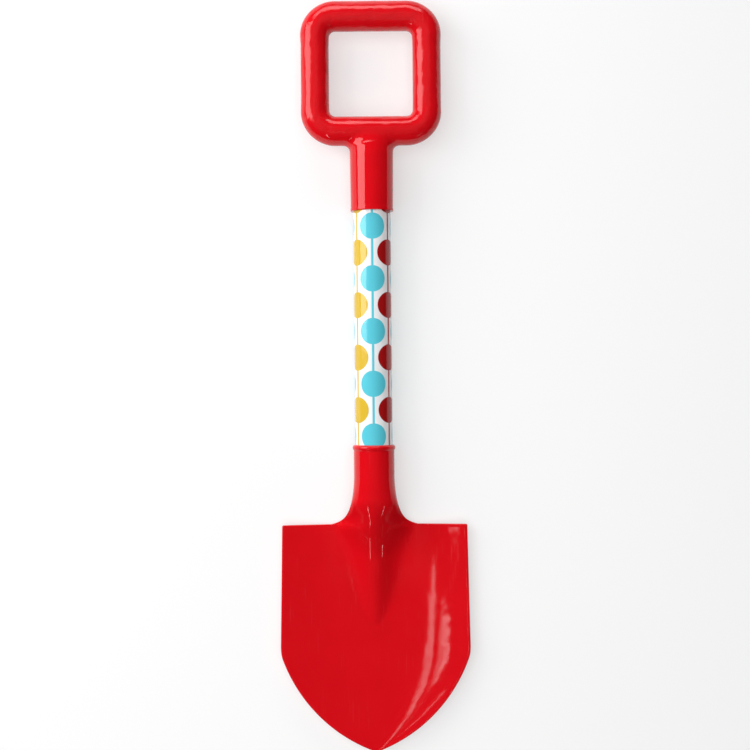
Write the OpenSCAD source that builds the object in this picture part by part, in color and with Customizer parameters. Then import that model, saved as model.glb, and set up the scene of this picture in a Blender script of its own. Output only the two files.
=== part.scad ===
// Sand shovel for children: a hollow square-loop grip and a dished blade, both
// moulded in red plastic, pressed on a wooden shaft with a printed film around it.
// It lies on its back: +X to the right, +Y towards the grip, +Z out of the dish.

/* [Grip handle] */
// Width of the grip loop, outside
loop_w = 95.2; // [85:0.1:110]
// Height of the grip loop, outside
loop_h = 98.2; // [88:0.1:115]
// Diameter of the loop's round bar
bar_d = 19.6; // [17:0.1:22]
// Corner radius of the loop, at the middle of the bar
loop_corner_r = 14; // [11.5:0.1:18]
// Wall of the hollow bar
bar_wall = 2.2; // [1.5:0.1:3]
// Length of the stem, from the loop's lower edge to its mouth
stem_len = 44.8; // [35:0.1:60]
// Diameter of the stem next to the loop
stem_top_d = 29.6; // [29:0.1:32]
// Diameter of the stem next to its mouth
stem_mouth_d = 28.8; // [28.4:0.1:32]
// Height of the rolled lip at the stem's mouth
stem_lip_h = 2; // [1:0.1:4]
// How far that lip stands proud of the stem
stem_lip_out = 0.3; // [0.1:0.05:0.8]
// Radius of the fillet between stem and loop
stem_fillet_r = 4.5; // [3:0.1:6]

/* [Shaft] */
// Diameter of the wooden dowel
dowel_d = 25; // [24:0.1:26]
// Length of the shaft that shows between grip and blade
shaft_show = 158.4; // [120:0.1:220]
// Thickness of the printed film
film_t = 0.15; // [0.1:0.01:0.3]
// Gap between dowel and film
film_gap = 0.02; // [0.01:0.01:0.05]
// Gap all round between the covered shaft and its two sockets
socket_gap = 0.05; // [0.02:0.01:0.1]

/* [Blade socket] */
// Diameter of the rolled lip at the socket's mouth
lip_d = 29.2; // [28.6:0.1:32]
// Height of that lip
lip_h = 4; // [3:0.1:6]
// Diameter of the neck
neck_d = 27.7; // [27.2:0.1:30]
// Length of the socket's straight neck, lip included
neck_len = 22.8; // [18:0.1:30]
// Length of the flare from neck to shoulder line
flare_len = 32.5; // [28:0.1:40]
// Depth of the socket's bore
socket_depth = 36; // [28:0.1:38]
// Web that closes the bore
web_t = 2.4; // [1.6:0.1:3]
// Half width that the flare gains in its slow curve
flare_slow_w = 11; // [8:0.1:14]
// Length over which the slow curve falls off
flare_slow_len = 10.8; // [8:0.1:13]
// Half width that the flare gains in its tight last curve
flare_tight_w = 5.5; // [3:0.1:8]
// Length over which the tight curve falls off
flare_tight_len = 1.7; // [1:0.1:3]

/* [Blade] */
// Length from shoulder line to tip
blade_len = 156; // [135:0.5:190]
// Width at the shoulders
shoulder_w = 127; // [110:0.5:150]
// How much wider the blade is where its straight sides end
side_widening = 3.2; // [0:0.1:8]
// Length of the straight sides
side_len = 88; // [60:0.5:110]
// Radius of the two arcs that meet in the point
point_arc_r = 108.3; // [95:0.1:160]
// How far the corner between side and arc is softened
corner_soft = 1.6; // [0.5:0.1:6]
// Width left at the blunt tip
tip_w = 2.6; // [1.5:0.1:6]
// Wall of the blade
blade_wall = 2.2; // [1.6:0.1:3]
// How far the sides rise above the middle of the dish
dish_depth = 5.8; // [3:0.1:12]
// How late the sides turn up: 2 is a plain bow, more is a flatter floor
dish_power = 2.4; // [2:0.1:4]
// How far the tip rises above the shoulder line
tip_lift = 4; // [0:0.1:8]
// Length of the ridge below the shoulder line
ridge_len = 70; // [50:0.5:90]
// Height that the ridge keeps after its first steep drop
ridge_low_h = 11.5; // [8:0.1:15]
// Length of that steep drop, from where the neck starts to fall
ridge_drop_len = 44; // [35:0.5:60]
// How slender the ridge is: 1 is a plain arch, more is a narrower bell with a wider foot
ridge_power = 3.6; // [1.2:0.1:5]
// Distance below the shoulder line at which the ridge has that shape
ridge_turn_len = 20; // [5:0.5:40]

/* [Screws] */
// Diameter of the countersunk heads
screw_head_d = 5.6; // [5:0.1:7]
// Height of the heads, from their flat to the shank
screw_head_h = 1.5; // [1.2:0.1:2]
// Height of the straight rim round a head
screw_rim_h = 0.2; // [0.1:0.05:0.4]
// Length of the cross recess in a head
recess_len = 3; // [2.4:0.1:3.6]
// Width of the recess
recess_w = 0.8; // [0.6:0.1:1]
// Depth of the recess
recess_depth = 0.9; // [0.6:0.1:1.2]
// Diameter of the shanks
screw_shank_d = 2.9; // [2.4:0.1:3.5]
// Length of the screws, head included
screw_len = 12; // [9:0.5:12]
// Gap between a screw and its hole
screw_gap = 0.05; // [0.02:0.01:0.1]
// Distance of the grip's screw from the stem's mouth
handle_screw_at = 14; // [8:0.5:25]
// Distance of the blade's screw from the socket's mouth
blade_screw_at = 13; // [9:0.5:16]

/* [Hidden] */
$fn = 64;

// Overlap that lets a cut run past a face
past = 1;

// Heights along the shovel, with the origin halfway between tip and grip
total_len = loop_h + stem_len + shaft_show + neck_len + flare_len + blade_len;
loop_mid_y = total_len / 2 - loop_h / 2;
mouth_y = total_len / 2 - loop_h - stem_len;
collar_y = mouth_y - shaft_show;
shoulder_y = collar_y - neck_len - flare_len;

// The shovel rests on its stem and on the back of its blade
axis_z = stem_top_d / 2;

// Round fits
film_inner_r = dowel_d / 2 + film_gap;
film_outer_r = film_inner_r + film_t;
socket_r = film_outer_r + socket_gap;

// A screw's flat head lies so deep that its rim is flush with a round of that radius
function flush_seat(round_r) = sqrt(round_r * round_r - pow(screw_head_d / 2, 2));

// The stem's round top reaches the middle of the loop's lower bar
dome_y = mouth_y + stem_len + bar_d / 2 - stem_top_d / 2;
stem_straight = dome_y - mouth_y;
lower_bar_y = mouth_y + stem_len + bar_d / 2;

// Places and seats of the two screws
handle_screw_y = mouth_y + handle_screw_at;
blade_screw_y = collar_y - blade_screw_at;
stem_r_at_screw = (stem_mouth_d + (stem_top_d - stem_mouth_d) * handle_screw_at / stem_straight) / 2;
handle_seat_r = flush_seat(stem_r_at_screw);
blade_seat_r = flush_seat(neck_d / 2);

// How deep the fillets sink into the surfaces that they join
fillet_bite = 0.15;

// Shaft, from the start of the stem's dome to the bottom of the blade's socket
dowel_top_y = dome_y;
dowel_len = dowel_top_y - (collar_y - socket_depth);

// Blade: floor of the dish, end of the bore and of its web above the shoulder line
floor_z = blade_wall - axis_z;
bore_end = neck_len + flare_len - socket_depth;
web_end = bore_end - web_t;

// The flare starts this much inside the true round of the neck
seam_step = 0.03;
flare_r = neck_d / 2 - seam_step;
ridge_foot = flare_half(0);

// Greatest width, and the centre of the arc from the end of a straight side to the tip's corner
blade_w = shoulder_w + side_widening;
chord = [(tip_w - blade_w) / 2, blade_len - side_len];
chord_len = norm(chord);
arc_back = sqrt(point_arc_r * point_arc_r - chord_len * chord_len / 4) / chord_len;
arc_x = (tip_w + blade_w) / 4 - arc_back * chord[1];
arc_s = (blade_len + side_len) / 2 + arc_back * chord[0];

// Shape of the ridge: a true half round at the neck, and how its crest runs out
round_power = 0.5;
ridge_fall_power = 1.4;
least_foot = 0.01;
slope_step = 0.05;

// Fineness of the moulded skin; a row power above 1 sets rows closer towards one end
neck_columns = 24;
neck_angles = [for (j = [0:neck_columns - 1]) (j + 0.5) * 180 / neck_columns - 90];
wing_columns = 7;
flare_rows = 6;
arch_rows = 9;
arch_row_power = 2;
blade_rows = 30;
blade_row_power = 1.4;

// Local +Z runs down the shaft towards the tip, local +Y out of the dish
module on_axis(y) {
    translate([0, y, axis_z])
        rotate([90, 0, 0])
            children();
}

// One quarter of a ring of round bar
module bar_corner(bar_r) {
    rotate_extrude(angle = 90)
        translate([loop_corner_r, 0])
            circle(r = bar_r);
}

// Square loop of round bar with rounded corners, lying flat
module bar_loop(bar_r) {
    mid_w = loop_w - bar_d;
    mid_h = loop_h - bar_d;
    run_w = mid_w - 2 * loop_corner_r;
    run_h = mid_h - 2 * loop_corner_r;
    translate([0, loop_mid_y, axis_z]) {
        for (side = [-1, 1]) {
            translate([side * mid_w / 2, 0, 0])
                rotate([90, 0, 0])
                    cylinder(r = bar_r, h = run_h, center = true);
            translate([0, side * mid_h / 2, 0])
                rotate([0, 90, 0])
                    cylinder(r = bar_r, h = run_w, center = true);
        }
        for (quarter = [0:3]) {
            across = (quarter == 0 || quarter == 3) ? 1 : -1;
            up = quarter < 2 ? 1 : -1;
            translate([across * run_w / 2, up * run_h / 2, 0])
                rotate([0, 0, 90 * quarter])
                    bar_corner(bar_r);
        }
    }
}

// Profile of a round-topped stem: half disc at the top, then a tapering side
module stem_profile(top_r, end_r, length) {
    intersection() {
        circle(r = top_r);
        translate([0, -top_r])
            square([top_r, top_r]);
    }
    polygon([[0, 0], [top_r, 0], [end_r, length], [0, length]]);
}

// Outside of the stem with the rolled lip at its mouth
module stem_body() {
    mouth_r = stem_mouth_d / 2;
    on_axis(dome_y) {
        rotate_extrude()
            stem_profile(stem_top_d / 2, mouth_r, stem_straight);
        translate([0, 0, stem_straight - stem_lip_h / 2])
            rotate_extrude()
                intersection() {
                    translate([mouth_r + stem_lip_out - stem_lip_h / 2, 0])
                        circle(r = stem_lip_h / 2);
                    translate([socket_r, -stem_lip_h])
                        square([mouth_r, 2 * stem_lip_h]);
                }
    }
}

// Grooved disc in the corner between stem and lower bar: its groove is the fillet,
// as a ball of that radius would leave it when rolled round both
module stem_fillet() {
    stem_reach = stem_top_d / 2 + stem_fillet_r;
    bar_reach = bar_d / 2 + stem_fillet_r;
    groove_r = 1 / norm([1 / stem_reach, 1 / bar_reach]);
    across = groove_r / stem_reach;
    down = groove_r / bar_reach;
    hub_r = groove_r + fillet_bite;
    translate([stem_reach - across * hub_r, lower_bar_y - bar_reach + down * hub_r, axis_z])
        rotate([90, 0, -atan2(down, across)])
            rotate_extrude()
                difference() {
                    translate([0, -across * stem_fillet_r])
                        square([groove_r, (across + down) * stem_fillet_r]);
                    translate([groove_r, 0])
                        circle(r = stem_fillet_r);
                }
}

// Hollow moulding: the bar's cavity opens into the stem's socket
module grip_handle() {
    color("crimson")
        difference() {
            union() {
                bar_loop(bar_d / 2);
                stem_body();
                for (side = [0, 1])
                    mirror([side, 0, 0])
                        stem_fillet();
            }
            bar_loop(bar_d / 2 - bar_wall);
            on_axis(dome_y)
                rotate_extrude()
                    stem_profile(socket_r, socket_r, stem_straight + past);
            screw_hole(handle_screw_y, handle_seat_r);
        }
}

// Turned dowel that carries both mouldings
module shaft_dowel() {
    color("burlywood")
        difference() {
            on_axis(dowel_top_y)
                cylinder(d = dowel_d, h = dowel_len);
            screw_hole(handle_screw_y, handle_seat_r);
            screw_hole(blade_screw_y, blade_seat_r);
        }
}

// Printed film, wrapped round the dowel over its whole length
module printed_sleeve() {
    color("white")
        difference() {
            on_axis(dowel_top_y)
                cylinder(r = film_outer_r, h = dowel_len);
            on_axis(dowel_top_y + past)
                cylinder(r = film_inner_r, h = dowel_len + 2 * past);
            screw_hole(handle_screw_y, handle_seat_r);
            screw_hole(blade_screw_y, blade_seat_r);
        }
}

// Blend from 0 to 1 that starts and ends level
function smooth(t) = let (u = max(0, min(1, t))) u * u * (3 - 2 * u);

// Half width of the flare at s below the shoulder line, so s is negative here
function flare_half(s) =
    flare_r
    + flare_slow_w * (exp(s / flare_slow_len) - exp(-flare_len / flare_slow_len))
    + flare_tight_w * exp(s / flare_tight_len);

// Half width of the blade: straight sides, a soft corner, then an arc to the blunt tip
function side_half(s) = (shoulder_w + (blade_w - shoulder_w) * s / side_len) / 2;
function arc_half(s) = arc_x + sqrt(point_arc_r * point_arc_r - pow(max(0, s - arc_s), 2));
function blade_half(s) =
    let (near = max(0, 1 - abs(side_half(s) - arc_half(s)) / corner_soft))
    min(side_half(s), arc_half(s)) - near * near * corner_soft / 4;

// Half width of the ridge's foot: the flare, then a round-nosed tongue
function ridge_half(s) =
    s < 0 ? flare_half(s) : ridge_foot * sqrt(max(0, 1 - s / ridge_len));

// Floor of the dish, measured from the shaft's axis
function dish_z(x, s) =
    floor_z
    + tip_lift * pow(s / blade_len, 2)
    + 2 * dish_depth / blade_w * blade_half(s) * pow(abs(x) / blade_half(s), dish_power);

// Height of the ridge's crest over the floor, from the end of the bore to the ridge's tip
function ridge_rise(s) =
    let (fall = max(0, s + bore_end), reach = min(1, fall / (bore_end + ridge_len)))
    (flare_r - floor_z - ridge_low_h) * (1 - smooth(fall / ridge_drop_len))
    + ridge_low_h * (1 - pow(reach, ridge_fall_power));

// Front of the moulding: round neck, settling into the dish with the ridge on it
function front_z(x, s) =
    let (
        settle = smooth(1 + s / web_end),
        low = settle * dish_z(x, max(0, s)),
        low_mid = settle * dish_z(0, max(0, s)),
        crest = floor_z + max(0, dish_z(0, max(0, s)) - floor_z) + ridge_rise(s),
        foot = max(ridge_half(s), least_foot),
        arch = max(0, 1 - pow(x / foot, 2)),
        turn = smooth((s + web_end) / (web_end + ridge_turn_len))
    )
    low + (crest - low_mid) * pow(arch, round_power + (ridge_power - round_power) * turn);

// Wall measured straight down, thicker where the front is steep
function wall_down(x, s) =
    let (slope = (front_z(x + slope_step, s) - front_z(x - slope_step, s)) / (2 * slope_step))
    blade_wall * min(sqrt(1 + slope * slope), 1 + smooth(1 + s / web_end));

// Closed skin over matching rows of front and back points, split alike left and right
module loft(fronts, backs) {
    rows = len(fronts);
    columns = len(fronts[0]);
    around = 2 * columns;
    points = [
        for (k = [0:rows - 1])
            each concat(fronts[k], [for (j = [columns - 1:-1:0]) backs[k][j]])
    ];
    sides = [
        for (k = [0:rows - 2], i = [0:around - 1])
            let (
                a = k * around + i,
                b = k * around + (i + 1) % around,
                outward = 2 * (i % columns) >= columns
            )
                each outward
                    ? [[a, b, a + around], [b, b + around, a + around]]
                    : [[a, b, b + around], [a, b + around, a + around]]
    ];
    last = (rows - 1) * around;
    caps = [
        for (j = [0:columns - 2])
            let (f = j, g = j + 1, b = around - 1 - j, c = around - 2 - j)
                each [
                    [f, b, c], [f, c, g],
                    [last + f, last + g, last + c], [last + f, last + c, last + b]
                ]
    ];
    polyhedron(points, concat(sides, caps));
}

// Points of one row, x across and s below the shoulder line, z from the shaft's axis
function place(x, s, z) = [x, shoulder_y - s, axis_z + z];
function front_row(xs, s) = [for (x = xs) place(x, s, front_z(x, s))];
function back_row(xs, s) = [for (x = xs) place(x, s, front_z(x, s) - wall_down(x, s))];
function round_back_row(xs, s) =
    [for (x = xs) place(x, s, -flare_r * sqrt(max(0, 1 - pow(x / flare_half(s), 2))))];

// Columns across the flare, evenly spaced round the neck, and across the blade
function flare_columns(s) = [for (a = neck_angles) flare_half(s) * sin(a)];
function blade_columns(s) =
    let (
        inner = flare_columns(0),
        first = inner[len(inner) - 1],
        edge = blade_half(0),
        outer = [for (j = [1:wing_columns]) first + (edge - first) * j / wing_columns],
        all = concat([for (j = [wing_columns - 1:-1:0]) -outer[j]], inner, outer)
    )
    [for (x = all) x / edge * blade_half(s)];

// Solid neck end that holds the bore's web
module neck_flare() {
    rows = [for (k = [0:flare_rows]) -flare_len + (flare_len - web_end) * k / flare_rows];
    loft(
        [for (s = rows) front_row(flare_columns(s), s)],
        [for (s = rows) round_back_row(flare_columns(s), s)]
    );
}

// Open-backed arch between the web and the shoulder line
module ridge_arch() {
    rows = [for (k = [0:arch_rows]) -web_end * pow(1 - k / arch_rows, arch_row_power)];
    loft(
        [for (s = rows) front_row(flare_columns(s), s)],
        [for (s = rows) back_row(flare_columns(s), s)]
    );
}

// Dished sheet with the hollow ridge in it
module blade_sheet() {
    rows = [for (k = [0:blade_rows]) blade_len * (1 - pow(1 - k / blade_rows, blade_row_power))];
    loft(
        [for (s = rows) front_row(blade_columns(s), s)],
        [for (s = rows) back_row(blade_columns(s), s)]
    );
}

// Straight neck with the rolled lip at the socket's mouth
module socket_neck() {
    on_axis(collar_y)
        rotate_extrude() {
            translate([0, lip_h / 2])
                square([neck_d / 2, neck_len - lip_h / 2]);
            square([lip_d / 2 - lip_h / 2, lip_h]);
            translate([lip_d / 2 - lip_h / 2, lip_h / 2])
                circle(r = lip_h / 2);
        }
}

// Moulding of blade and socket in one piece
module blade() {
    color("firebrick")
        difference() {
            union() {
                socket_neck();
                neck_flare();
                ridge_arch();
                blade_sheet();
            }
            on_axis(collar_y + past)
                cylinder(r = socket_r, h = socket_depth + past);
            screw_hole(blade_screw_y, blade_seat_r);
        }
}

// Turned shape of a countersunk screw in the back of a socket, its flat at radius seat_r;
// grow and run_out make its hole
module screw_shape(y, seat_r, grow, run_out) {
    head_r = screw_head_d / 2 + grow;
    shank_r = screw_shank_d / 2 + grow;
    translate([0, y, axis_z - seat_r])
        rotate_extrude()
            polygon([
                [0, -run_out], [head_r, -run_out], [head_r, screw_rim_h],
                [shank_r, screw_head_h], [shank_r, screw_len + grow], [0, screw_len + grow]
            ]);
}

module screw_hole(y, seat_r) {
    screw_shape(y, seat_r, screw_gap, past);
}

// Screw with a cross recess in its head
module screw(y, seat_r) {
    color("silver")
        difference() {
            screw_shape(y, seat_r, 0, 0);
            for (turn = [0, 90])
                translate([0, y, axis_z - seat_r])
                    rotate([0, 0, turn])
                        cube([recess_len, recess_w, 2 * recess_depth], center = true);
        }
}

module handle_screw() {
    screw(handle_screw_y, handle_seat_r);
}

module blade_screw() {
    screw(blade_screw_y, blade_seat_r);
}

grip_handle();
shaft_dowel();
printed_sleeve();
blade();
handle_screw();
blade_screw();
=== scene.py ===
"""Looks of a child's sand shovel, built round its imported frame: a hollow loop grip and a dished
blade in glossy red plastic, a printed film round the shaft, and the dowel and screws inside."""

import math

import bmesh
import bpy
import numpy as np
from mathutils import Matrix


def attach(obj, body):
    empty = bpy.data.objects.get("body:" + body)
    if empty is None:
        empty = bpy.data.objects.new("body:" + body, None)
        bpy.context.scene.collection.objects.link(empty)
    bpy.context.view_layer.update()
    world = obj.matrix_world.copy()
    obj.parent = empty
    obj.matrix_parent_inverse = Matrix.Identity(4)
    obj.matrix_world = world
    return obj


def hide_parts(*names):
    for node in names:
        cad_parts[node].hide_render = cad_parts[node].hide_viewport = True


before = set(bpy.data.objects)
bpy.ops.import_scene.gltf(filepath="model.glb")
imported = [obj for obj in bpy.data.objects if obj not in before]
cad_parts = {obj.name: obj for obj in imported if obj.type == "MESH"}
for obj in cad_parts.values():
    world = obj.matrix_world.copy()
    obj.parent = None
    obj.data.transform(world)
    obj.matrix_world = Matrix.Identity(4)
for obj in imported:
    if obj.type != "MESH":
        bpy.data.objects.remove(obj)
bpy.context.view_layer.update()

# Sizes of the shovel in millimetres, as in its solids, with finer detail added
MM = 0.001
AXIS_Z = 14.8
TOP_Y = 256.35
MOUTH_Y = 113.35
COLLAR_Y = -45.05
SHOULDER_Y = -100.35

# Grip
LOOP_W = 95.2
LOOP_H = 98.2
LOOP_MID_Y = TOP_Y - LOOP_H / 2
LOOP_CORNER_R = 14.0
SIDE_BAR_R = 9.6
TOP_BAR_R = 10.3
LOW_BAR_R = 10.0
BAR_WALL = 2.2
STEM_TOP_R = 14.8
STEM_MOUTH_R = 14.4
STEM_DOME_Y = 153.15
STEM_END_Y = 157.0
STEM_FILLET = 5.0
STEM_FLAT_Y = 150.0
STEM_FLAT_LEN = 22.0
STEM_FLAT = 0.31
LOW_BAR_SWELL = 0.1
STEM_LIP_R = 1.0
STEM_LIP_OUT = 0.3

# Shaft
DOWEL_TOP_Y = 153.15
FILM_INNER_R = 12.52
FILM_OUTER_R = 12.67
SOCKET_R = 12.72
SOCKET_DEPTH = 36.0

# Socket and flare of the blade
LIP_R = 14.6
LIP_H = 4.0
LIP_BLEND_LEN = 4.0
LIP_BLEND = 0.9
NECK_R = 13.85
FLARE_LEN = 32.5
NECK_TOP_S = COLLAR_Y - SHOULDER_Y
BORE_END = NECK_TOP_S - SOCKET_DEPTH
WEB_END = BORE_END - 2.4
FLARE_SLOW_W = 11.0
FLARE_SLOW_LEN = 10.8
FLARE_TIGHT_W = 5.5
FLARE_TIGHT_LEN = 1.7

# Dished sheet and its ridge
BLADE_LEN = 156.0
SHOULDER_W = 127.0
BLADE_W = 130.2
SIDE_LEN = 88.0
POINT_ARC_R = 108.3
TIP_W = 2.6
CORNER_SOFT = 1.6
DISH_SOFT = 14.0
BLADE_WALL = 2.2
DISH_DEPTH = 5.8
DISH_POWER = 2.4
TIP_LIFT = 4.0
RIDGE_LEN = 70.0
RIDGE_LOW_H = 11.5
RIDGE_DROP_LEN = 44.0
RIDGE_POWER = 3.6
RIDGE_TURN_LEN = 20.0
RIDGE_FALL_POWER = 1.4
FOOT_SOFT_LEN = 14.0
FOOT_SWELL_LEN = 4.0
LEAST_FOOT = 0.01
ROUND_POWER = 0.5
FLOOR_Z = BLADE_WALL - AXIS_Z
RIM_R = 0.9

# Screws at the back of the two sockets
SCREW_HEAD_R = 2.85
SCREW_SHANK_R = 1.5
SCREW_HEAD_H = 1.5
SCREW_RIM_H = 0.2
SCREW_LEN = 12.05
HANDLE_SCREW_Y = MOUTH_Y + 14.0
HANDLE_SEAT_R = 14.268
BLADE_SCREW_Y = COLLAR_Y - 13.0
BLADE_SEAT_R = 13.564


# Meshes

class Skin:
    """Strips of points, in millimetres, that are sewn into one mesh."""

    def __init__(self):
        self.points = []
        self.faces = []

    def grid(self, rows, closed=False):
        """Four-sided faces between rows of points of one length."""
        first = len(self.points)
        width = len(rows[0])
        for row in rows:
            self.points.extend(row)
        steps = width if closed else width - 1
        for r in range(len(rows) - 1):
            for c in range(steps):
                a = first + r * width + c
                b = first + r * width + (c + 1) % width
                self.faces.append((a, b, b + width, a + width))

    def cap(self, row):
        """One flat face over a closed row of points."""
        first = len(self.points)
        self.points.extend(row)
        self.faces.append(tuple(range(first, first + len(row))))

    def sewn(self, name):
        """The finished object: doubled points joined, faces turned outwards."""
        piece = new_piece(name, np.array(self.points), self.faces)
        shell = bmesh.new()
        shell.from_mesh(piece.data)
        bmesh.ops.remove_doubles(shell, verts=shell.verts, dist=0.002 * MM)
        bmesh.ops.dissolve_degenerate(shell, edges=shell.edges, dist=0.001 * MM)
        bmesh.ops.recalc_face_normals(shell, faces=shell.faces)
        shell.to_mesh(piece.data)
        shell.free()
        return piece


def new_piece(name, points, faces):
    """Object with a mesh from points in millimetres."""
    mesh = bpy.data.meshes.new(name)
    mesh.from_pydata((np.asarray(points) * MM).tolist(), [], faces)
    piece = bpy.data.objects.new(name, mesh)
    bpy.context.scene.collection.objects.link(piece)
    return piece


def settle_modifiers(piece):
    """Makes what the modifiers give the piece's own mesh."""
    graph = bpy.context.evaluated_depsgraph_get()
    mesh = bpy.data.meshes.new_from_object(piece.evaluated_get(graph))
    old = piece.data
    piece.modifiers.clear()
    piece.data = mesh
    bpy.data.meshes.remove(old)


def smooth_shade(piece, sharp_deg):
    """Smooth shading, with a hard edge where faces meet at a steep angle."""
    piece.data.shade_smooth()
    piece.data.set_sharp_from_angle(angle=math.radians(sharp_deg))


def turned(profile, y, segments):
    """Rows of a shape turned about the shaft: radius and distance below y."""
    rows = []
    for radius, below in profile:
        row = []
        for i in range(segments):
            a = 2 * math.pi * i / segments
            row.append((radius * math.sin(a), y - below, AXIS_Z + radius * math.cos(a)))
        rows.append(row)
    return rows


def cut_screw_hole(piece, y, seat_r):
    """Countersunk hole in the back of a socket."""
    profile = [
        (SCREW_HEAD_R, -1.0),
        (SCREW_HEAD_R, SCREW_RIM_H),
        (SCREW_SHANK_R, SCREW_HEAD_H),
        (SCREW_SHANK_R, SCREW_LEN),
    ]
    segments = 48
    rows = []
    for radius, depth in profile:
        row = []
        for i in range(segments):
            a = 2 * math.pi * i / segments
            row.append((radius * math.cos(a), y + radius * math.sin(a), AXIS_Z - seat_r + depth))
        rows.append(row)
    drill = Skin()
    drill.grid(rows, closed=True)
    drill.cap(rows[0])
    drill.cap(rows[-1])
    tool = drill.sewn("screw_drill")
    cut = piece.modifiers.new("screw hole", "BOOLEAN")
    cut.operation = "DIFFERENCE"
    cut.solver = "EXACT"
    cut.object = tool
    settle_modifiers(piece)
    bpy.data.objects.remove(tool)


def smooth(t):
    """Blend from 0 to 1 that starts and ends level."""
    u = max(0.0, min(1.0, t))
    return u * u * (3 - 2 * u)


# Grip: a field of distances whose zero is the moulding's skin

def soft_union(a, b, reach):
    """The smaller of two fields, with a fillet where they are close."""
    near = np.clip(1 - np.abs(a - b) / reach, 0, None)
    return np.minimum(a, b) - near * near * reach / 4


def smooth_steps(t):
    """Blend from 0 to 1 for a whole list of values."""
    u = np.clip(t, 0, 1)
    return u * u * (3 - 2 * u)


def loop_field(p, wall):
    """Square loop of round bar, a little thicker at the top than at the sides."""
    centre_y = LOOP_MID_Y + (LOW_BAR_R - TOP_BAR_R) / 2
    half_w = LOOP_W / 2 - SIDE_BAR_R
    half_h = (LOOP_H - TOP_BAR_R - LOW_BAR_R) / 2
    x = p[:, 0]
    y = p[:, 1] - centre_y
    q = np.abs(np.stack([x, y], axis=1)) - np.array([half_w, half_h]) + LOOP_CORNER_R
    outside = np.linalg.norm(np.maximum(q, 0), axis=1)
    across = outside + np.minimum(q.max(axis=1), 0) - LOOP_CORNER_R
    rise = smooth_steps((np.abs(y) / half_h - 0.45) / 0.5)
    swell = np.where(y < 0, LOW_BAR_SWELL, 0) * rise * (1 - smooth_steps((np.abs(x) - 8) / 26))
    end_r = np.where(y > 0, TOP_BAR_R, LOW_BAR_R)
    bar_r = SIDE_BAR_R + (end_r - SIDE_BAR_R) * rise
    return np.hypot(across, (p[:, 2] - AXIS_Z) / (1 + swell)) - (bar_r - wall)


def stem_field(p, top_r, mouth_r, dome_y):
    """Round-topped stem that tapers towards its mouth."""
    above = np.maximum(p[:, 1] - dome_y, 0)
    down = np.clip((STEM_DOME_Y - p[:, 1]) / (STEM_DOME_Y - MOUTH_Y), 0, 1.2)
    reach = np.sqrt(p[:, 0] ** 2 + above ** 2 + (p[:, 2] - AXIS_Z) ** 2)
    return reach - (top_r + (mouth_r - top_r) * down)


def grip_outside(p):
    """Loop, stem and the rolled lip at the stem's mouth."""
    flatter = p.copy()
    flatten = STEM_FLAT * smooth_steps((p[:, 1] - STEM_FLAT_Y) / STEM_FLAT_LEN)
    flatter[:, 2] = AXIS_Z + (p[:, 2] - AXIS_Z) / (1 - flatten)
    stem = stem_field(flatter, STEM_TOP_R, STEM_MOUTH_R, STEM_END_Y)
    body = soft_union(loop_field(p, 0), stem, STEM_FILLET)
    radius = np.hypot(p[:, 0], p[:, 2] - AXIS_Z)
    off = radius - (STEM_MOUTH_R + STEM_LIP_OUT - STEM_LIP_R)
    lip = np.hypot(off, p[:, 1] - MOUTH_Y - STEM_LIP_R) - STEM_LIP_R
    return soft_union(body, lip, 0.5)


def grip_inside(p):
    """Cavity of the bar, open to the socket."""
    return soft_union(loop_field(p, BAR_WALL), stem_field(p, SOCKET_R, SOCKET_R, STEM_DOME_Y), 1.0)


def field_slope(field, points):
    """Direction in which a field grows, at every point."""
    step = 0.01
    parts = []
    for axis in np.eye(3) * step:
        parts.append((field(points + axis) - field(points - axis)) / (2 * step))
    return np.stack(parts, axis=1)


def settle_on(field, points):
    """Moves points along the field's slope onto its zero."""
    for _ in range(5):
        slope = field_slope(field, points)
        size = np.maximum((slope ** 2).sum(axis=1), 0.05)
        points = points - slope * (field(points) / size)[:, None]
    return points


def mesh_points(mesh):
    """A mesh's points in millimetres."""
    flat = np.empty(len(mesh.vertices) * 3)
    mesh.vertices.foreach_get("co", flat)
    return flat.reshape(-1, 3) / MM


def rough_grip():
    """Loop and stem as crossing tubes, the start for an even skin."""
    rough = Skin()
    half_w = LOOP_W / 2 - SIDE_BAR_R
    half_h = (LOOP_H - TOP_BAR_R - LOW_BAR_R) / 2
    centre_y = LOOP_MID_Y + (LOW_BAR_R - TOP_BAR_R) / 2
    rings = []
    for quarter in range(4):
        for step in range(9):
            a = math.radians(90 * quarter + 90 * step / 8)
            side_x = 1 if quarter in (0, 3) else -1
            side_y = 1 if quarter in (0, 1) else -1
            x = side_x * (half_w - LOOP_CORNER_R) + LOOP_CORNER_R * math.cos(a)
            y = centre_y + side_y * (half_h - LOOP_CORNER_R) + LOOP_CORNER_R * math.sin(a)
            ring = []
            for i in range(24):
                b = 2 * math.pi * i / 24
                out = SIDE_BAR_R * math.cos(b)
                up = SIDE_BAR_R * math.sin(b)
                ring.append((x + out * math.cos(a), y + out * math.sin(a), AXIS_Z + up))
            rings.append(ring)
    rough.grid(rings + rings[:1], closed=True)
    below = 6.0
    profile = [(STEM_MOUTH_R, STEM_DOME_Y - MOUTH_Y + below)]
    for step in range(9):
        a = math.radians(10 * step)
        profile.append((STEM_TOP_R * math.cos(a), -STEM_TOP_R * math.sin(a)))
    rows = turned(profile, STEM_DOME_Y, 48)
    rough.grid(rows, closed=True)
    rough.cap(rows[0])
    rough.cap(rows[-1])
    return rough.sewn("grip_handle")


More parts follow.
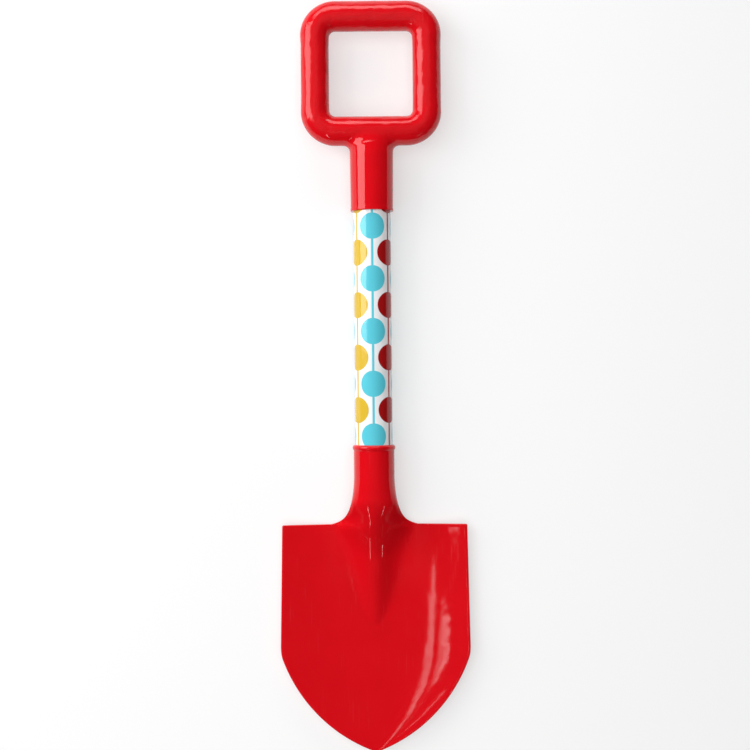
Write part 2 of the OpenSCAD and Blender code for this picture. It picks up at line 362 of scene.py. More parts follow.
def make_grip():
    """Hollow grip: outer skin, cut off at the mouth, and the cavity's skin inside it."""
    grip = rough_grip()
    even = grip.modifiers.new("even skin", "REMESH")
    even.mode = "VOXEL"
    even.voxel_size = 1.0 * MM
    settle_modifiers(grip)
    shell = bmesh.new()
    shell.from_mesh(grip.data)
    for _ in range(3):
        bmesh.ops.smooth_vert(shell, verts=shell.verts, factor=0.5, use_axis_x=True,
                              use_axis_y=True, use_axis_z=True)
    shell.to_mesh(grip.data)
    shell.free()
    on_skin = settle_on(grip_outside, mesh_points(grip.data))
    grip.data.vertices.foreach_set("co", (on_skin * MM).ravel())
    shell = bmesh.new()
    shell.from_mesh(grip.data)
    everything = shell.verts[:] + shell.edges[:] + shell.faces[:]
    bmesh.ops.bisect_plane(shell, geom=everything, plane_co=(0, MOUTH_Y * MM, 0),
                           plane_no=(0, -1, 0), clear_outer=True)
    shell.verts.ensure_lookup_table()
    shell.verts.index_update()
    outer = np.array([v.co for v in shell.verts]) / MM
    inner = settle_on(grip_inside, outer - BAR_WALL * field_slope(grip_outside, outer))
    faces = [tuple(v.index for v in face.verts) for face in shell.faces]
    count = len(outer)
    closing = []
    for edge in shell.edges:
        if len(edge.link_faces) == 1:
            a, b = (v.index for v in edge.verts)
            closing.append((a, b, b + count, a + count))
            for i in (a, b):
                across = np.array([outer[i][0], outer[i][2] - AXIS_Z])
                across *= SOCKET_R / np.linalg.norm(across)
                inner[i] = (across[0], MOUTH_Y, AXIS_Z + across[1])
    shell.free()
    cavity = [tuple(i + count for i in reversed(face)) for face in faces]
    name = grip.name
    bpy.data.objects.remove(grip)
    skin = Skin()
    skin.points = np.concatenate([outer, inner]).tolist()
    skin.faces = faces + cavity + closing
    grip = skin.sewn(name)
    cut_screw_hole(grip, HANDLE_SCREW_Y, HANDLE_SEAT_R)
    smooth_shade(grip, 50)
    return grip


# Blade: half widths and heights as functions of s, the distance below the shoulder line

def flare_half(s):
    """Half width of the flare."""
    slow = math.exp(s / FLARE_SLOW_LEN) - math.exp(-FLARE_LEN / FLARE_SLOW_LEN)
    return NECK_R + FLARE_SLOW_W * slow + FLARE_TIGHT_W * math.exp(s / FLARE_TIGHT_LEN)


CHORD_X = (TIP_W - BLADE_W) / 2
CHORD_S = BLADE_LEN - SIDE_LEN
CHORD = math.hypot(CHORD_X, CHORD_S)
ARC_BACK = math.sqrt(POINT_ARC_R ** 2 - CHORD ** 2 / 4) / CHORD
ARC_X = (TIP_W + BLADE_W) / 4 - ARC_BACK * CHORD_S
ARC_S = (BLADE_LEN + SIDE_LEN) / 2 + ARC_BACK * CHORD_X


def cornered_half(s, soft):
    """Half width with a straight side, a corner as soft as asked, then an arc to the tip."""
    side = (SHOULDER_W + (BLADE_W - SHOULDER_W) * s / SIDE_LEN) / 2
    arc = ARC_X + math.sqrt(max(0.0, POINT_ARC_R ** 2 - max(0.0, s - ARC_S) ** 2))
    near = max(0.0, 1 - abs(side - arc) / soft)
    return min(side, arc) - near * near * soft / 4


def blade_half(s):
    """Half width of the blade."""
    return cornered_half(s, CORNER_SOFT)


def ridge_half(s):
    """Half width of the ridge's foot; it widens softly across the shoulder line."""
    slow = math.exp(min(s, 0.0) / FLARE_SLOW_LEN) - math.exp(-FLARE_LEN / FLARE_SLOW_LEN)
    tight = FLARE_TIGHT_W * smooth((s + FOOT_SOFT_LEN) / (2 * FOOT_SOFT_LEN))
    wide = NECK_R + FLARE_SLOW_W * slow + tight
    if s < 0:
        return wide
    swell = FLARE_SLOW_W / FLARE_SLOW_LEN * s * math.exp(-s / FOOT_SWELL_LEN)
    return wide * math.sqrt(max(0.0, 1 - s / RIDGE_LEN)) + swell


def dish_z(x, s):
    """Floor of the dish, from the shaft's axis; it has no crease at the outline's corner."""
    half = cornered_half(s, DISH_SOFT)
    bow = 2 * DISH_DEPTH / BLADE_W * half * (abs(x) / half) ** DISH_POWER
    return FLOOR_Z + TIP_LIFT * (s / BLADE_LEN) ** 2 + bow


def ridge_rise(s):
    """Height of the ridge's crest over the floor."""
    fall = max(0.0, s + BORE_END)
    reach = min(1.0, fall / (BORE_END + RIDGE_LEN))
    steep = (NECK_R - FLOOR_Z - RIDGE_LOW_H) * (1 - smooth(fall / RIDGE_DROP_LEN))
    return steep + RIDGE_LOW_H * (1 - reach ** RIDGE_FALL_POWER)


def settled(s):
    """How far the round neck has turned into the dish."""
    return smooth(1 + s / WEB_END)


def front_z(x, s):
    """Front of the moulding."""
    settle = settled(s)
    at = max(0.0, s)
    middle = dish_z(0, at)
    low = settle * dish_z(x, at)
    crest = middle + ridge_rise(s)
    arch = max(0.0, 1 - (x / max(ridge_half(s), LEAST_FOOT)) ** 2)
    turn = smooth((s + WEB_END) / (WEB_END + RIDGE_TURN_LEN))
    power = ROUND_POWER + (RIDGE_POWER - ROUND_POWER) * turn
    return low + (crest - settle * middle) * arch ** power


def back_z(x, s):
    """Back of the moulding, one wall behind the front."""
    step = 0.05
    slope = (front_z(x + step, s) - front_z(x - step, s)) / (2 * step)
    return front_z(x, s) - BLADE_WALL * min(math.hypot(1, slope), 1 + settled(s))


def place(x, s, z):
    """A point of the blade in the shovel's frame."""
    return (x, SHOULDER_Y - s, AXIS_Z + z)


def outward(half, s):
    """Outward direction of the right-hand outline with half widths half(s)."""
    step = 0.02
    slope = (half(s + step) - half(s - step)) / (2 * step)
    size = math.hypot(1, slope)
    return 1 / size, -slope / size


def rim_profile(edge):
    """Rounded rim from front to back at an outline point: place, direction and inset."""
    x, s, out_x, out_s, inset = edge
    top = front_z(x, s)
    bottom = back_z(x, s)
    round_r = min(inset, (top - bottom) / 2)
    row = []
    for step in range(13):
        a = math.radians(90 - 15 * step)
        level = top - round_r if step < 7 else bottom + round_r
        out = inset * math.cos(a)
        row.append(place(x + out * out_x, s + out * out_s, level + round_r * math.sin(a)))
    row[0] = place(x, s, top)
    row[-1] = place(x, s, bottom)
    return row


def sheet_rows():
    """Points of the arch and of the sheet as rows of (x, s), and the right-hand outline."""
    columns = 64
    shares = [math.sin(math.radians(180 * j / columns - 90)) for j in range(columns + 1)]
    arch = []
    outline = []
    steps = 36
    for k in range(steps + 1):
        s = -WEB_END * (1 - k / steps) ** 1.6
        inset = RIM_R * settled(s)
        out_x, out_s = outward(flare_half, min(s, -0.02))
        edge_x = flare_half(s) - inset * out_x
        edge_s = s - inset * out_s
        arch.append([(f * edge_x, s + (edge_s - s) * abs(f) ** 8) for f in shares])
        outline.append((edge_x, edge_s, out_x, out_s, inset))
    wings = 26
    corner_x = SHOULDER_W / 2 - RIM_R
    foot_x, foot_s = arch[-1][-1]
    wing = []
    for j in range(1, wings + 1):
        t = j / wings
        wing.append((foot_x + (corner_x - foot_x) * t, foot_s + (RIM_R - foot_s) * t))
    sheet = [[(-x, s) for x, s in reversed(wing)] + arch[-1] + wing]
    for x, s in wing:
        outline.append((x, s, 0.0, -1.0, RIM_R))
    for turn in (30, 60, 90):
        a = math.radians(turn)
        outline.append((corner_x, RIM_R, math.sin(a), -math.cos(a), RIM_R))
    across = [x / corner_x for x, s in sheet[0]]
    rows = 118
    for k in range(1, rows + 1):
        s = RIM_R + (BLADE_LEN - RIM_R) * (1 - (1 - k / rows) ** 1.15)
        out_x, out_s = outward(blade_half, min(s, BLADE_LEN - 0.02))
        edge_x = blade_half(s) - RIM_R * out_x
        edge_s = s - RIM_R * out_s
        sheet.append([(f * edge_x, s + (edge_s - s) * abs(f) ** 3) for f in across])
        outline.append((edge_x, edge_s, out_x, out_s, RIM_R))
    tip_s = BLADE_LEN - RIM_R
    last_x = sheet[-1][-1][0]
    sheet[-1] = [(f * last_x, tip_s) for f in across]
    last = outline[-1]
    outline[-1] = (last_x, tip_s, last[2], last[3], RIM_R)
    return arch, sheet, outline


def make_blade():
    """Blade in one piece: socket, neck and flare, open arch, dished sheet and rounded rim."""
    skin = Skin()
    columns = 64
    angles = [math.radians(180 * j / columns - 90) for j in range(columns + 1)]

    def round_row(s, half, top, bottom):
        front = [place(half * math.sin(a), s, top * math.cos(a)) for a in angles]
        back = [place(half * math.sin(a), s, -bottom * math.cos(a)) for a in reversed(angles[1:-1])]
        return front + back

    mouth_s = -NECK_TOP_S
    ring = [round_row(mouth_s + SOCKET_DEPTH, SOCKET_R, SOCKET_R, SOCKET_R)]
    skin.cap(ring[0])
    for step in range(1, 13):
        s = mouth_s + SOCKET_DEPTH - (SOCKET_DEPTH - 0.3) * step / 12
        ring.append(round_row(s, SOCKET_R, SOCKET_R, SOCKET_R))
    lip_half = LIP_H / 2
    for step in range(1, 14):
        a = math.radians(90 * step / 13)
        r = LIP_R - lip_half + lip_half * math.sin(a)
        if r > SOCKET_R:
            ring.append(round_row(mouth_s + lip_half - lip_half * math.cos(a), r, r, r))
    for step in range(1, 21):
        below = lip_half + LIP_BLEND_LEN * step / 20
        lip = LIP_R - lip_half + math.sqrt(max(0.0, lip_half ** 2 - (below - lip_half) ** 2))
        near = max(0.0, 1 - abs(lip - NECK_R) / LIP_BLEND)
        r = max(lip, NECK_R) + near * near * LIP_BLEND / 4
        ring.append(round_row(mouth_s + below, r, r, r))
    straight_top = mouth_s + lip_half + LIP_BLEND_LEN
    for step in range(1, 13):
        s = straight_top + (-FLARE_LEN - straight_top) * step / 12
        ring.append(round_row(s, NECK_R, NECK_R, NECK_R))
    for step in range(1, 21):
        s = -FLARE_LEN + (FLARE_LEN - WEB_END) * step / 20
        ring.append(round_row(s, flare_half(s), FLOOR_Z + ridge_rise(s), NECK_R))
    skin.grid(ring, closed=True)

    arch, sheet, outline = sheet_rows()
    for grid in (arch, sheet):
        skin.grid([[place(x, s, front_z(x, s)) for x, s in row] for row in grid])
        skin.grid([[place(x, s, back_z(x, s)) for x, s in row] for row in grid])
    web_back = [place(x, s, -NECK_R * math.cos(a)) for (x, s), a in zip(arch[0], angles)]
    skin.grid([web_back, [place(x, s, back_z(x, s)) for x, s in arch[0]]])
    right = [rim_profile(edge) for edge in outline]
    skin.grid(right)
    skin.grid([[(-x, y, z) for x, y, z in row] for row in right])
    tip = []
    last_x = sheet[-1][-1][0]
    for x, s in sheet[-1]:
        lean = x / last_x
        out_x = outline[-1][2] * lean
        tip.append(rim_profile((x, s, out_x, math.sqrt(1 - out_x ** 2), RIM_R)))
    skin.grid(tip)
    blade = skin.sewn("blade")
    cut_screw_hole(blade, BLADE_SCREW_Y, BLADE_SEAT_R)
    smooth_shade(blade, 50)
    return blade


# Film round the shaft

def make_sleeve():
    """Thin tube of film with the two holes that the screws go through."""
    length = DOWEL_TOP_Y - COLLAR_Y + SOCKET_DEPTH
    steps = 60
    outside = [(FILM_OUTER_R, length * k / steps) for k in range(steps + 1)]
    inside = [(FILM_INNER_R, length * (steps - k) / steps) for k in range(steps + 1)]
    skin = Skin()
    skin.grid(turned(outside + inside + outside[:1], DOWEL_TOP_Y, 144), closed=True)
    sleeve = skin.sewn("printed_sleeve")
    cut_screw_hole(sleeve, HANDLE_SCREW_Y, HANDLE_SEAT_R)
    cut_screw_hole(sleeve, BLADE_SCREW_Y, BLADE_SEAT_R)
    smooth_shade(sleeve, 40)
    return sleeve


# Node helpers

class Sheet:
    """Node tree of a material or group, with short ways to add and join nodes."""

    def __init__(self, tree):
        self.tree = tree

    def add(self, kind, **values):
        """A node with its settings and with values for its unlinked inputs."""
        node = self.tree.nodes.new(kind)
        inputs = values.pop("inputs", {})
        for name, value in values.items():
            setattr(node, name, value)
        for name, value in inputs.items():
            self.feed(value, node.inputs[name])
        return node

    def feed(self, value, socket):
        """Links an output to a socket, or writes a plain value on it."""
        if isinstance(value, bpy.types.NodeSocket):
            self.tree.links.new(value, socket)
        else:
            socket.default_value = value

    def math(self, operation, a, b=0.0, c=0.0):
        """Result of one sum."""
        return self.add("ShaderNodeMath", operation=operation, inputs={0: a, 1: b, 2: c}).outputs[0]

    def step(self, value, low, high):
        """0 below low, 1 above high, smooth between."""
        node = self.add("ShaderNodeMapRange", interpolation_type="SMOOTHSTEP",
                        inputs={"Value": value, "From Min": low, "From Max": high})
        return node.outputs["Result"]

    def mix(self, factor, a, b):
        """Blend of two colours."""
        node = self.add("ShaderNodeMix", data_type="RGBA")
        self.feed(factor, node.inputs[0])
        self.feed(a, node.inputs[6])
        self.feed(b, node.inputs[7])
        return node.outputs[2]

    def noise(self, place, scale, detail=2.0, roughness=0.5):
        """Cloudy value from 0 to 1."""
        node = self.add("ShaderNodeTexNoise", inputs={
            "Vector": place, "Scale": scale, "Detail": detail, "Roughness": roughness})
        return node.outputs["Fac"]

    def stretched(self, place, scale, turn=(0.0, 0.0, 0.0)):
        """A place stretched along its axes, and turned."""
        node = self.add("ShaderNodeMapping", inputs={
            "Vector": place, "Scale": scale, "Rotation": turn})
        return node.outputs[0]


def new_group(name, inputs, outputs):
    """Empty node group with its sockets, its sheet and its two end nodes."""
    tree = bpy.data.node_groups.new(name, "ShaderNodeTree")
    for label, kind, value in inputs:
        socket = tree.interface.new_socket(label, in_out="INPUT", socket_type=kind)
        if value is not None:
            socket.default_value = value
    for label, kind in outputs:
        tree.interface.new_socket(label, in_out="OUTPUT", socket_type=kind)
    sheet = Sheet(tree)
    start = sheet.add("NodeGroupInput")
    end = sheet.add("NodeGroupOutput")
    return tree, sheet, start, end


def new_material(name):
    """Material with a Principled shader: the material, its sheet, shader and place."""
    material = bpy.data.materials.new(name)
    material.use_nodes = True
    sheet = Sheet(material.node_tree)
    shader = material.node_tree.nodes["Principled BSDF"]
    place = sheet.add("ShaderNodeTexCoord").outputs["Object"]
    return material, sheet, shader, place


# Effects that several finishes share

def handling_marks_group():
    """Fine scratches in patches, as from sand and hands."""
    tree, sheet, start, end = new_group(
        "handling marks",
        [("Place", "NodeSocketVector", None), ("Fineness", "NodeSocketFloat", 1.0),
         ("Amount", "NodeSocketFloat", 1.0)],
        [("Mask", "NodeSocketFloat")])
    place = start.outputs["Place"]
    scale = start.outputs["Fineness"]
    one = sheet.noise(sheet.stretched(place, (900, 30, 300), (0, 0, 0.5)), scale, 1.0)
    two = sheet.noise(sheet.stretched(place, (700, 24, 300), (0, 0, -0.9)), scale, 1.0)
    lines = sheet.math("MAXIMUM", sheet.step(one, 0.66, 0.74), sheet.step(two, 0.68, 0.76))
    patches = sheet.step(sheet.noise(place, 22.0, 3.0), 0.42, 0.68)
    mask = sheet.math("MULTIPLY", sheet.math("MULTIPLY", lines, patches), start.outputs["Amount"])
    sheet.feed(mask, end.inputs["Mask"])
    return tree


def cloudiness_group():
    """Slow mottling of a surface, for colour and gloss."""
    tree, sheet, start, end = new_group(
        "cloudiness",
        [("Place", "NodeSocketVector", None), ("Scale", "NodeSocketFloat", 40.0)],
        [("Slow", "NodeSocketFloat"), ("Fine", "NodeSocketFloat")])
    place = start.outputs["Place"]
    slow = sheet.noise(place, start.outputs["Scale"], 2.0)
    fine_scale = sheet.math("MULTIPLY", start.outputs["Scale"], 24.0)
    sheet.feed(slow, end.inputs["Slow"])
    sheet.feed(sheet.noise(place, fine_scale, 2.0), end.inputs["Fine"])
    return tree


MARKS = handling_marks_group()
CLOUDS = cloudiness_group()


def use_marks(sheet, place, fineness, amount):
    """Places the shared handling marks in a material."""
    node = sheet.add("ShaderNodeGroup", node_tree=MARKS, inputs={
        "Place": place, "Fineness": fineness, "Amount": amount})
    return node.outputs["Mask"]


def use_clouds(sheet, place, scale):
    """Places the shared mottling in a material."""
    node = sheet.add("ShaderNodeGroup", node_tree=CLOUDS, inputs={"Place": place, "Scale": scale})
    return node.outputs["Slow"], node.outputs["Fine"]


# Finishes

def red_moulding():
    """Glossy red plastic with waves and scratches, softer on the loop and dull in the flare."""
    material, sheet, shader, place = new_material("moulded_plastic")
    slow, fine = use_clouds(sheet, place, 35.0)
    marks = use_marks(sheet, place, 1.0, 0.6)
    red = sheet.mix(slow, (0.64, 0.0030, 0.0075, 1), (0.70, 0.0045, 0.010, 1))
    worn = sheet.mix(sheet.math("MULTIPLY", marks, 0.25), red, (0.80, 0.10, 0.11, 1))
    sheet.feed(worn, shader.inputs["Base Color"])
    parts = sheet.add("ShaderNodeSeparateXYZ", inputs={0: place})
    from_axis = sheet.math("ABSOLUTE", parts.outputs["X"])
    in_flare = sheet.math("MULTIPLY", sheet.step(parts.outputs["Y"], -0.15, -0.125),
                          sheet.step(parts.outputs["Y"], -0.072, -0.088))
    beside = sheet.math("MULTIPLY", sheet.step(from_axis, 0.005, 0.009),
                        sheet.step(from_axis, 0.04, 0.024))
    dull = sheet.math("MULTIPLY", in_flare, beside)
    on_loop = sheet.step(parts.outputs["Y"], 0.155, 0.175)
    gloss = sheet.math("MULTIPLY_ADD", fine, 0.03, 0.035)
    softer = sheet.math("MULTIPLY_ADD", on_loop, 0.11, gloss)
    hollows = sheet.math("MULTIPLY_ADD", dull, 0.1, softer)
    sheet.feed(sheet.math("MULTIPLY_ADD", marks, 0.15, hollows), shader.inputs["Roughness"])
    sheet.feed(sheet.math("MULTIPLY_ADD", dull, -0.46, 0.5), shader.inputs["Specular IOR Level"])
    shader.inputs["IOR"].default_value = 1.42
    off_line = sheet.math("ABSOLUTE", sheet.math("SUBTRACT", parts.outputs["Z"], AXIS_Z * MM))
    line = sheet.step(off_line, 0.00035, 0.00008)
    ripple_h = sheet.math("MULTIPLY_ADD", on_loop, 0.0008, 0.00003)
    ripple = sheet.math("MULTIPLY", sheet.noise(place, 100.0, 1.0), ripple_h)
    pucker_h = sheet.math("MULTIPLY", on_loop, 0.00018)
    pucker = sheet.math("MULTIPLY_ADD", sheet.noise(place, 300.0, 1.0), pucker_h, ripple)
    waves = sheet.math("MULTIPLY_ADD", slow, 0.00006, pucker)
    peel = sheet.math("MULTIPLY_ADD", fine, 0.0000008, waves)
    height = sheet.math("MULTIPLY_ADD", line, 0.00008, peel)
    scratched = sheet.math("MULTIPLY_ADD", marks, -0.000003, height)
    bump = sheet.add("ShaderNodeBump", inputs={"Strength": 1.0, "Distance": 1.0, "Height": scratched})
    sheet.feed(bump.outputs[0], shader.inputs["Normal"])
    return material


DOT_R = 8.84
DOT_PITCH = 35.4
DOT_COLUMN = 12.16
DOT_LINE_W = 1.6
FIRST_DOT_Y = 102.5


def dot_lattice(sheet, arc, along, column_shift, row_shift):
    """Masks of the dots and of their lines on every second column, and the column's number."""
    spread = sheet.math("DIVIDE", sheet.math("SUBTRACT", arc, column_shift), 2 * DOT_COLUMN)
    number = sheet.math("ROUND", spread)
    across = sheet.math("MULTIPLY", sheet.math("SUBTRACT", spread, number), 2 * DOT_COLUMN)
    turns = sheet.math("ADD", sheet.math("DIVIDE", along, DOT_PITCH), row_shift)
    down = sheet.math("MULTIPLY", sheet.math("SUBTRACT", turns, sheet.math("ROUND", turns)), DOT_PITCH)
    square = sheet.math("MULTIPLY_ADD", across, across, sheet.math("MULTIPLY", down, down))
    dots = sheet.step(sheet.math("SQRT", square), DOT_R + 0.12, DOT_R - 0.12)
    lines = sheet.step(sheet.math("ABSOLUTE", across), DOT_LINE_W / 2 + 0.1, DOT_LINE_W / 2 - 0.1)
    return sheet.math("MAXIMUM", dots, lines), number


def printed_film():
    """White glossy film with coloured dots strung on lines and a lapped seam at the back."""
    material, sheet, shader, place = new_material("print_film")
    parts = sheet.add("ShaderNodeSeparateXYZ", inputs={0: place})
    up = sheet.math("SUBTRACT", parts.outputs["Z"], AXIS_Z * MM)
    angle = sheet.math("ARCTAN2", parts.outputs["X"], up)
    arc = sheet.math("MULTIPLY", angle, FILM_OUTER_R)
    along = sheet.math("SUBTRACT", sheet.math("MULTIPLY", parts.outputs["Y"], 1 / MM), FIRST_DOT_Y)
    blue_mask = dot_lattice(sheet, arc, along, 0.0, 0.0)[0]
    warm_mask, warm_number = dot_lattice(sheet, arc, along, DOT_COLUMN, 0.5)
    is_yellow = sheet.math("PINGPONG", warm_number, 1.0)
    warm = sheet.mix(is_yellow, (0.37, 0.006, 0.007, 1), (0.69, 0.455, 0.034, 1))
    slow, fine = use_clouds(sheet, place, 60.0)
    marks = use_marks(sheet, place, 1.6, 0.5)
    white = sheet.mix(slow, (0.86, 0.86, 0.875, 1), (0.91, 0.91, 0.92, 1))
    with_warm = sheet.mix(warm_mask, white, warm)
    with_blue = sheet.mix(blue_mask, with_warm, (0.102, 0.580, 0.700, 1))
    seam_off = sheet.math("SUBTRACT", sheet.math("ABSOLUTE", arc), math.pi * FILM_OUTER_R - 1.6)
    seam = sheet.step(sheet.math("ABSOLUTE", seam_off), 0.16, 0.04)
    seamed = sheet.mix(sheet.math("MULTIPLY", seam, 0.4), with_blue, (0.35, 0.35, 0.36, 1))
    sheet.feed(seamed, shader.inputs["Base Color"])
    gloss = sheet.math("MULTIPLY_ADD", fine, 0.05, 0.09)
    sheet.feed(sheet.math("MULTIPLY_ADD", marks, 0.2, gloss), shader.inputs["Roughness"])
    shader.inputs["IOR"].default_value = 1.5
    waves = sheet.math("MULTIPLY", slow, 0.00012)
    lap = sheet.math("MULTIPLY_ADD", sheet.step(seam_off, -0.05, 0.05), 0.00006, waves)
    height = sheet.math("MULTIPLY_ADD", fine, 0.000004, lap)
    bump = sheet.add("ShaderNodeBump", inputs={"Strength": 1.0, "Distance": 1.0, "Height": height})
    sheet.feed(bump.outputs[0], shader.inputs["Normal"])
    return material


def dowel_wood():
    """Pale turned wood with long grain and open pores."""
    material, sheet, shader, place = new_material("dowel_wood")
    grain = sheet.noise(sheet.stretched(place, (260, 9, 260)), 1.0, 4.0, 0.6)
    pores = sheet.step(sheet.noise(sheet.stretched(place, (1600, 60, 1600)), 1.0, 1.0), 0.62, 0.72)
    slow, fine = use_clouds(sheet, place, 30.0)
    pale = sheet.mix(sheet.step(grain, 0.35, 0.68), (0.62, 0.44, 0.26, 1), (0.46, 0.29, 0.15, 1))
    dark = sheet.mix(sheet.math("MULTIPLY", pores, 0.5), pale, (0.24, 0.13, 0.06, 1))
    sheet.feed(dark, shader.inputs["Base Color"])
    sheet.feed(sheet.math("MULTIPLY_ADD", slow, 0.2, 0.5), shader.inputs["Roughness"])
    height = sheet.math("MULTIPLY_ADD", pores, -0.00005, sheet.math("MULTIPLY", grain, 0.00006))
    bump = sheet.add("ShaderNodeBump", inputs={"Strength": 1.0, "Distance": 1.0, "Height": height})
    sheet.feed(bump.outputs[0], shader.inputs["Normal"])
    return material


def screw_steel():
    """Bright plated steel with a faint yellow cast and drive marks."""
    material, sheet, shader, place = new_material("screw_steel")
    slow, fine = use_clouds(sheet, place, 300.0)
    marks = use_marks(sheet, place, 4.0, 1.0)
    plate = sheet.mix(slow, (0.52, 0.53, 0.55, 1), (0.60, 0.59, 0.55, 1))
    worn = sheet.mix(sheet.math("MULTIPLY", marks, 0.5), plate, (0.30, 0.29, 0.28, 1))
    sheet.feed(worn, shader.inputs["Base Color"])
    shader.inputs["Metallic"].default_value = 1.0
    gloss = sheet.math("MULTIPLY_ADD", fine, 0.12, 0.24)
    sheet.feed(sheet.math("MULTIPLY_ADD", marks, 0.2, gloss), shader.inputs["Roughness"])
    return material


FLOOR_GLOW = 0.5


def white_floor():
    """Plain white floor that shows the shovel's shadow."""
    material = bpy.data.materials.new("studio_floor")
    material.use_nodes = True
    sheet = Sheet(material.node_tree)
    material.node_tree.nodes.clear()
    paths = sheet.add("ShaderNodeLightPath")
    seen = sheet.math("MAXIMUM", paths.outputs["Is Camera Ray"], paths.outputs["Is Glossy Ray"])
    seen = sheet.math("MAXIMUM", seen, paths.outputs["Is Transmission Ray"])
    matt = sheet.add("ShaderNodeBsdfDiffuse", inputs={"Color": (0.92, 0.92, 0.92, 1)})
    glow = sheet.add("ShaderNodeEmission", inputs={"Color": (1, 1, 1, 1), "Strength": 1.0})
    blend = sheet.add("ShaderNodeMixShader")
    sheet.feed(sheet.math("MULTIPLY", seen, FLOOR_GLOW), blend.inputs[0])
    sheet.feed(matt.outputs[0], blend.inputs[1])
    sheet.feed(glow.outputs[0], blend.inputs[2])
    end = sheet.add("ShaderNodeOutputMaterial")
    sheet.feed(blend.outputs[0], end.inputs["Surface"])
    return material


def paint(piece, material):
    """Gives a piece its one finish."""
    piece.data.materials.clear()
    piece.data.materials.append(material)


# Pieces of the shovel

red = red_moulding()
grip = make_grip()
blade = make_blade()
sleeve = make_sleeve()
for piece, node, slot in (
    (grip, "grip_handle", "moulded_plastic"),
    (blade, "blade", "moulded_plastic"),
    (sleeve, "printed_sleeve", "print_film"),
):
    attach(piece, "root")
    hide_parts(node)
paint(grip, red)
paint(blade, red)
paint(sleeve, printed_film())
paint(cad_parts["shaft_dowel"], dowel_wood())
steel = screw_steel()
paint(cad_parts["handle_screw"], steel)
paint(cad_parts["blade_screw"], steel)


# Floor, lamps and camera

def make_floor():
    """Large round floor under the shovel."""
    skin = Skin()
    rows = []
    for radius in (1, 400, 900, 1600, 2600, 3600):
        row = []
        for i in range(64):
            a = 2 * math.pi * i / 64
            row.append((radius * math.cos(a), radius * math.sin(a), -0.05))
        rows.append(row)
    skin.grid(rows, closed=True)
    skin.cap(rows[0])
    floor = skin.sewn("studio_floor")
    paint(floor, white_floor())


def facing(place, target):
    """Directions right, up and ahead of something that faces a target."""
    ahead = np.array(target, dtype=float) - np.array(place, dtype=float)
    ahead /= np.linalg.norm(ahead)
    along = np.array([0.0, 1.0, 0.0])
    if abs(ahead[1]) > 0.6:
        along = np.array([0.0, 0.0, 1.0])
    right = np.cross(ahead, along)
    right /= np.linalg.norm(right)
    return right, np.cross(right, ahead), ahead


def soft_lamp(name, place, target, size, power):
    """Rectangular lamp that faces a target and isn't mirrored."""
    light = bpy.data.lights.new(name, "AREA")
    light.shape = "RECTANGLE"
    light.size = size[0]
    light.size_y = size[1]
    light.energy = power
    lamp = bpy.data.objects.new(name, light)
    right, up, ahead = facing(place, target)
    turn = np.eye(4)
    turn[:3, 0] = right
    turn[:3, 1] = up
    turn[:3, 2] = -ahead
    turn[:3, 3] = place
    lamp.matrix_world = Matrix(turn.tolist())
    lamp.visible_glossy = False
    bpy.context.scene.collection.objects.link(lamp)


PANEL_Z = 1.3


def on_ceiling(corners):
    """Corners of a panel that hangs level above the camera."""
    return [(x, y, PANEL_Z) for x, y in corners]


def pane(place, target, size):
    """Corners of a window pane that faces a target."""
    right, up, ahead = facing(place, target)
    across = right * size[0] / 2
    low = np.array(place) - up * size[1] / 2
    high = np.array(place) + up * size[1] / 2
    return [low - across, low + across, high + across, high - across]


def strip(start, end, width):
    """Corners of a narrow strip, level across its width."""
    across = np.array([width / 2, 0, 0])
    first = np.array(start)
    last = np.array(end)
    return [first - across, first + across, last + across, last - across]


def light_panel(name, corners, strength):
    """Flat shining panel that is only seen mirrored in glossy surfaces."""
    skin = Skin()
    skin.cap((np.array(corners) / MM).tolist())
    panel = skin.sewn(name)
    panel.visible_diffuse = False
    panel.visible_camera = False
    panel.visible_shadow = False
    material = bpy.data.materials.new(name)
    material.use_nodes = True
    sheet = Sheet(material.node_tree)
    material.node_tree.nodes.clear()
    glow = sheet.add("ShaderNodeEmission", inputs={"Color": (1, 1, 1, 1), "Strength": strength})
    end = sheet.add("ShaderNodeOutputMaterial")
    sheet.feed(glow.outputs[0], end.inputs["Surface"])
    paint(panel, material)


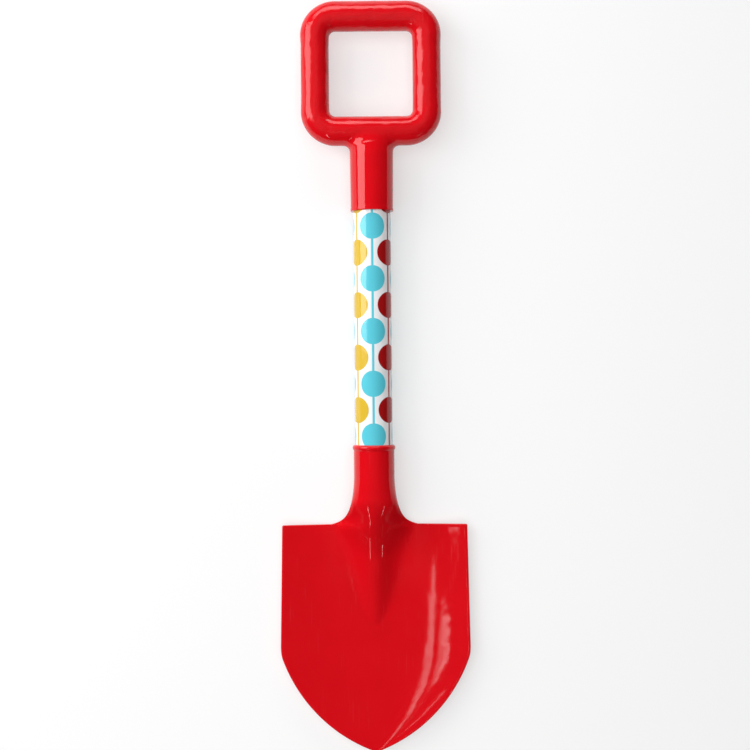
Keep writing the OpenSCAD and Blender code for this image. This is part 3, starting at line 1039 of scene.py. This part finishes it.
make_floor()
left_place = (-1.02, 0.48, 0.65)
left_target = (0, 0.13, 0.03)
soft_lamp("left_window", left_place, left_target, (0.8, 0.9), 9.5)
soft_lamp("top_window", (-0.1, 1.5, 0.43), (0, 0.25, 0), (1.0, 0.6), 10.0)
soft_lamp("overhead", (-0.45, -0.2, 1.4), (-0.45, -0.2, 0), (2.0, 2.0), 23.8)
light_panel("left_pane", pane(left_place, left_target, (0.95, 0.9)), 4.7)
light_panel("top_pane", pane((-0.1, 1.28, 0.62), (0, 0.25, 0.02), (1.4, 0.5)), 4.6)
light_panel("left_strip", strip((-0.45, -0.6, 0.75), (-0.43, -0.97, 0.3), 0.03), 9.0)
light_panel("right_strip", strip((0.61, -0.6, 0.6), (0.59, -0.87, 0.3), 0.03), 9.0)
streak = [(-0.2, -0.28), (-0.21, -0.28), (-0.2, -0.365), (-0.155, -0.365), (-0.175, -0.34)]
corner = [(-0.235, -0.33), (-0.24, -0.365), (-0.3, -0.36), (-0.3, -0.35), (-0.26, -0.34)]
corner_line = [(-0.25, -0.335), (-0.3, -0.345), (-0.3, -0.35), (-0.25, -0.34)]
shoulder = [(-0.305, -0.245), (-0.305, -0.255), (-0.365, -0.26), (-0.365, -0.25)]
light_panel("streak_panel", on_ceiling(streak), 4.2)
light_panel("corner_panel", on_ceiling(corner), 2.4)
light_panel("corner_edge", on_ceiling(corner_line), 14.0)
light_panel("shoulder_panel", on_ceiling(shoulder), 4.5)

world = bpy.data.worlds.new("studio")
world.use_nodes = True
world.node_tree.nodes["Background"].inputs["Color"].default_value = (0.95, 0.97, 1.0, 1)
world.node_tree.nodes["Background"].inputs["Strength"].default_value = 0.02
bpy.context.scene.world = world

lens = bpy.data.cameras.new("photo_camera")
lens.sensor_width = 36.0
lens.lens = 67.06
lens.clip_end = 20.0
camera = bpy.data.objects.new("photo_camera", lens)
camera.location = (0.0011, 0.0022, AXIS_Z * MM + 0.95)
camera.rotation_euler = (0, 0, math.radians(-0.51))
bpy.context.scene.collection.objects.link(camera)
bpy.context.scene.camera = camera
bpy.context.scene.view_settings.view_transform = "Standard"
